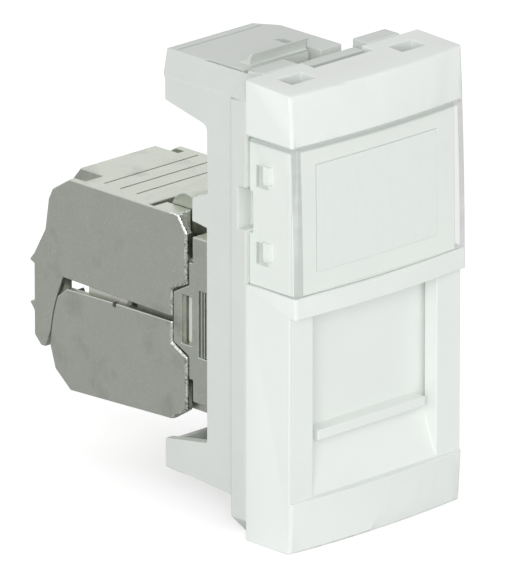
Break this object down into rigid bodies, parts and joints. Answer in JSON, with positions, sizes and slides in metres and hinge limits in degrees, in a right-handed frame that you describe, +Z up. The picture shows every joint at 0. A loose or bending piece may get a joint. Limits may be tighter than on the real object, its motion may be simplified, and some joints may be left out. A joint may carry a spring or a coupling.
{
  "type": "modular jack module",
  "caption": "White one-module data outlet with label window, sliding shutter, snap-in carrier and a shielded tool-less jack behind it.",
  "frame": {"origin": "middle of the carrier flange's rear plane, which seats on the mounting frame", "axes": "+X to the right seen from the front, +Y from the front to the back, +Z up"},
  "size_m": [0.0226, 0.0408, 0.0462],
  "materials": {
    "white_cover": "satin",
    "clear_window": "polished clear",
    "label_card": "plain paper",
    "grey_carrier": "fine moulded",
    "nickel_casting": "matt nickel plate",
    "pin_steel": "drawn",
    "spring_steel": "drawn wire",
    "dark_insert": "moulded",
    "gold_contact": "gold flash",
    "bronze_strip": "rolled strip",
    "green_board": "solder mask",
    "ivory_block": "moulded"
  },
  "bodies": {
    "module": {"front_cover": "white_cover", "label_window": "clear_window", "label_card": "label_card", "shutter_spring": "spring_steel", "carrier_frame": "grey_carrier", "jack_shell": "nickel_casting", "upper_hinge_pin": "pin_steel", "lower_hinge_pin": "pin_steel", "port_insert": "dark_insert", "shield_springs": "bronze_strip", "port_contacts": "gold_contact", "contact_board": "green_board", "terminal_block": "ivory_block", "upper_terminal_blades": "bronze_strip", "lower_terminal_blades": "bronze_strip"},
    "shutter": {"shutter": "white_cover"},
    "upper_flap": {"upper_flap": "nickel_casting", "upper_wire_comb": "ivory_block"},
    "lower_flap": {"lower_flap": "nickel_casting", "lower_wire_comb": "ivory_block"}
  },
  "joints": [
    {"name": "shutter_slide", "type": "slide", "parent": "module", "child": "shutter", "axis": [0, 0, 1], "range_m": [0, 0.0115], "stiffness_N_per_m": 30, "springref_m": -0.004, "deforming": ["shutter_spring"]},
    {"name": "upper_flap_hinge", "type": "hinge", "parent": "module", "child": "upper_flap", "pos_m": [0, 0.01225, 0.00495], "axis": [1, 0, 0], "range_deg": [0, 70]},
    {"name": "lower_flap_hinge", "type": "hinge", "parent": "module", "child": "lower_flap", "pos_m": [0, 0.01135, -0.0125], "axis": [1, 0, 0], "range_deg": [-60, 0]}
  ]
}
